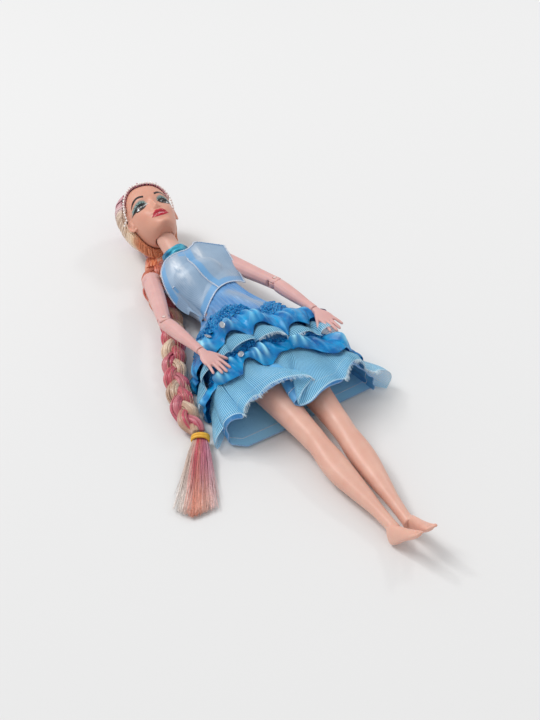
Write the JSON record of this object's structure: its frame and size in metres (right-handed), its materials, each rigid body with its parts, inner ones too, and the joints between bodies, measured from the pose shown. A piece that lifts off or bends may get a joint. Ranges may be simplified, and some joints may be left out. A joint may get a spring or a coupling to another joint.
{
  "type": "fashion doll",
  "caption": "Jointed fashion doll lying on its back in a ruffled party dress, with a long braid and a beaded hairline.",
  "frame": {"origin": "middle of the flat back closure, on the surface that the doll lies on", "axes": "+X to the doll's left, +Y towards its head, +Z out of its chest"},
  "size_m": [0.1404, 0.2951, 0.0414],
  "materials": {
    "body_plastic": "moulded skin-tone plastic",
    "arm_plastic": "moulded pinkish plastic",
    "leg_vinyl": "soft peach vinyl",
    "head_vinyl": "soft tan vinyl with painted features",
    "inner_plastic": "plain inner moulding",
    "pin_steel": "plain wire pin",
    "hair_pink": "rooted nylon hair, pink",
    "hair_orange": "rooted nylon hair, orange",
    "hair_pale": "rooted nylon hair, pale ends",
    "hair_band": "yellow-orange rubber band",
    "pearl": "pearly beads",
    "organza": "metallic ribbed organza",
    "collar_satin": "teal satin",
    "closure_tape": "hook and loop tape",
    "blue_net": "gathered light-blue cloth",
    "pale_satin": "pale-blue satin",
    "blue_satin": "bright-blue satin with sequins",
    "frill_net": "ribbed light-blue net"
  },
  "bodies": {
    "torso": {"torso_front": "body_plastic", "torso_back": "body_plastic", "neck_pin": "pin_steel", "hip_axle": "pin_steel", "collar_band": "collar_satin", "bodice_front_right": "organza", "bodice_front_left": "organza", "bodice_back_right": "organza", "bodice_back_left": "organza", "closure_hook_strip": "closure_tape", "closure_loop_strip": "closure_tape", "skirt_yoke": "blue_net", "underskirt": "pale_satin", "ruffle_upper": "blue_satin", "frill_upper": "frill_net", "ruffle_lower": "blue_satin", "frill_lower": "frill_net", "nape_gather": "hair_orange", "braid": "hair_pink", "braid_band": "hair_band", "braid_tail": "hair_pale"},
    "neck_knob": {"neck_knob": "inner_plastic"},
    "head": {"head_shell": "head_vinyl", "hair_cap": "hair_pink", "bead_string": "pearl"},
    "shoulder_peg_right": {"shoulder_peg_right": "inner_plastic"},
    "upper_arm_right": {"upper_arm_right": "arm_plastic", "shoulder_pin_right": "pin_steel", "elbow_pin_right": "pin_steel"},
    "forearm_right": {"forearm_right": "arm_plastic"},
    "hand_right": {"hand_right": "arm_plastic"},
    "shoulder_peg_left": {"shoulder_peg_left": "inner_plastic"},
    "upper_arm_left": {"upper_arm_left": "arm_plastic", "shoulder_pin_left": "pin_steel", "elbow_pin_left": "pin_steel"},
    "forearm_left": {"forearm_left": "arm_plastic"},
    "hand_left": {"hand_left": "arm_plastic"},
    "thigh_right": {"thigh_right": "leg_vinyl", "thigh_rod_right": "inner_plastic", "knee_pin_right": "pin_steel"},
    "shin_right": {"shin_right": "leg_vinyl", "shin_rod_right": "inner_plastic"},
    "thigh_left": {"thigh_left": "leg_vinyl", "thigh_rod_left": "inner_plastic", "knee_pin_left": "pin_steel"},
    "shin_left": {"shin_left": "leg_vinyl", "shin_rod_left": "inner_plastic"}
  },
  "joints": [
    {"name": "neck_nod", "type": "hinge", "parent": "torso", "child": "neck_knob", "pos_m": [0, 0.05004, 0.02141], "axis": [1, 0, 0], "range_deg": [-8, 12], "deforming": ["nape_gather", "braid", "braid_band", "braid_tail"]},
    {"name": "head_turn", "type": "hinge", "parent": "neck_knob", "child": "head", "pos_m": [0, 0.05004, 0.02141], "axis": [0.0523, 0.9768, 0.2076], "range_deg": [-85, 85], "deforming": ["nape_gather", "braid", "braid_band", "braid_tail"]},
    {"name": "shoulder_swing_right", "type": "hinge", "parent": "torso", "child": "shoulder_peg_right", "pos_m": [-0.02175, 0.026, 0.015], "axis": [-1, 0, 0], "continuous": true},
    {"name": "shoulder_spread_right", "type": "hinge", "parent": "shoulder_peg_right", "child": "upper_arm_right", "pos_m": [-0.02175, 0.026, 0.015], "axis": [0, -0.1909, -0.9816], "range_deg": [-10, 70]},
    {"name": "elbow_right", "type": "hinge", "parent": "upper_arm_right", "child": "forearm_right", "pos_m": [-0.03604, -0.01795, 0.02355], "axis": [0, 0.1909, 0.9816], "range_deg": [-20, 48]},
    {"name": "wrist_right", "type": "hinge", "parent": "forearm_right", "child": "hand_right", "pos_m": [-0.03451, -0.05522, 0.0308], "axis": [0.0401, -0.9808, 0.1908], "range_deg": [-90, 90]},
    {"name": "shoulder_swing_left", "type": "hinge", "parent": "torso", "child": "shoulder_peg_left", "pos_m": [0.02175, 0.026, 0.015], "axis": [-1, 0, 0], "continuous": true},
    {"name": "shoulder_spread_left", "type": "hinge", "parent": "shoulder_peg_left", "child": "upper_arm_left", "pos_m": [0.02175, 0.026, 0.015], "axis": [0, 0.174, 0.9847], "range_deg": [-6, 75]},
    {"name": "elbow_left", "type": "hinge", "parent": "upper_arm_left", "child": "forearm_left", "pos_m": [0.03168, -0.01923, 0.02299], "axis": [0, -0.174, -0.9847], "range_deg": [-10, 42]},
    {"name": "wrist_left", "type": "hinge", "parent": "forearm_left", "child": "hand_left", "pos_m": [0.03314, -0.05663, 0.0296], "axis": [0.0384, -0.984, 0.1739], "range_deg": [-90, 90]},
    {"name": "hip_swing_right", "type": "hinge", "parent": "torso", "child": "thigh_right", "pos_m": [-0.012, -0.048, 0.015], "axis": [-1, 0, 0], "range_deg": [-20, 90], "deforming": ["skirt_yoke", "underskirt", "ruffle_upper", "frill_upper", "ruffle_lower", "frill_lower"]},
    {"name": "knee_right", "type": "hinge", "parent": "thigh_right", "child": "shin_right", "pos_m": [-0.0092, -0.12087, 0.0116], "axis": [1, 0, 0], "range_deg": [0, 60]},
    {"name": "hip_swing_left", "type": "hinge", "parent": "torso", "child": "thigh_left", "pos_m": [0.012, -0.048, 0.015], "axis": [-1, 0, 0], "range_deg": [-20, 90], "deforming": ["skirt_yoke", "underskirt", "ruffle_upper", "frill_upper", "ruffle_lower", "frill_lower"]},
    {"name": "knee_left", "type": "hinge", "parent": "thigh_left", "child": "shin_left", "pos_m": [0.00716, -0.12076, 0.0116], "axis": [1, 0, 0], "range_deg": [0, 60]}
  ]
}
